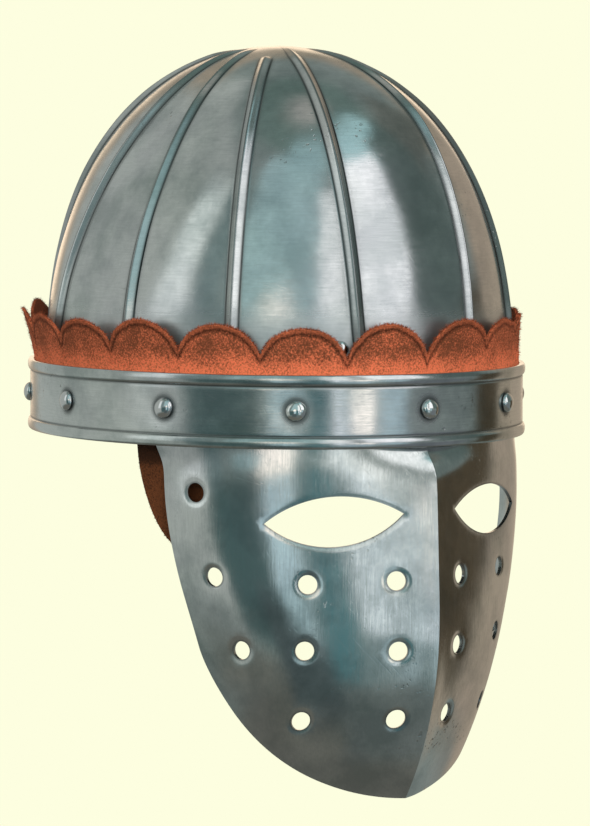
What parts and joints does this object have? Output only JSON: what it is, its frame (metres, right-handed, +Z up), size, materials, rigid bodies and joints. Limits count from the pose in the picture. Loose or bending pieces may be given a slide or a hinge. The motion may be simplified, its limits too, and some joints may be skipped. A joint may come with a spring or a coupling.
{
  "type": "spangenhelm-style ribbed steel helmet with face plate",
  "caption": "Steel helmet: a one-piece ribbed skull, a riveted brow band, a scalloped suede trim and a creased face plate with eye slots and breath holes.",
  "frame": {"origin": "middle of the head opening, level with the brow band's lower edge", "axes": "+Z up to the crown, front of the helmet towards -Y, the wearer's left towards +X"},
  "size_m": [0.212, 0.2447, 0.3159],
  "materials": {
    "skull_steel": "polished steel with fine scratches and small dark pits",
    "band_steel": "satin steel with brighter rolled edges",
    "plate_steel": "polished steel with fine scratches, brushed round the holes",
    "rivet_steel": "domed hammered steel heads, dark round the foot",
    "trim_suede": "rust-orange suede with a dark fuzzy cut edge",
    "flap_suede": "brown suede, napped"
  },
  "bodies": {
    "root": {"skull": "skull_steel", "brow_band": "band_steel", "suede_trim": "trim_suede", "face_plate": "plate_steel", "temple_flap": "flap_suede", "band_rivet_01": "rivet_steel", "band_rivet_02": "rivet_steel", "band_rivet_03": "rivet_steel", "band_rivet_04": "rivet_steel", "band_rivet_05": "rivet_steel", "band_rivet_06": "rivet_steel", "band_rivet_07": "rivet_steel", "band_rivet_08": "rivet_steel", "band_rivet_09": "rivet_steel", "band_rivet_10": "rivet_steel", "band_rivet_11": "rivet_steel", "band_rivet_12": "rivet_steel", "liner_rivet_right": "rivet_steel", "liner_rivet_left": "rivet_steel"}
  },
  "joints": []
}
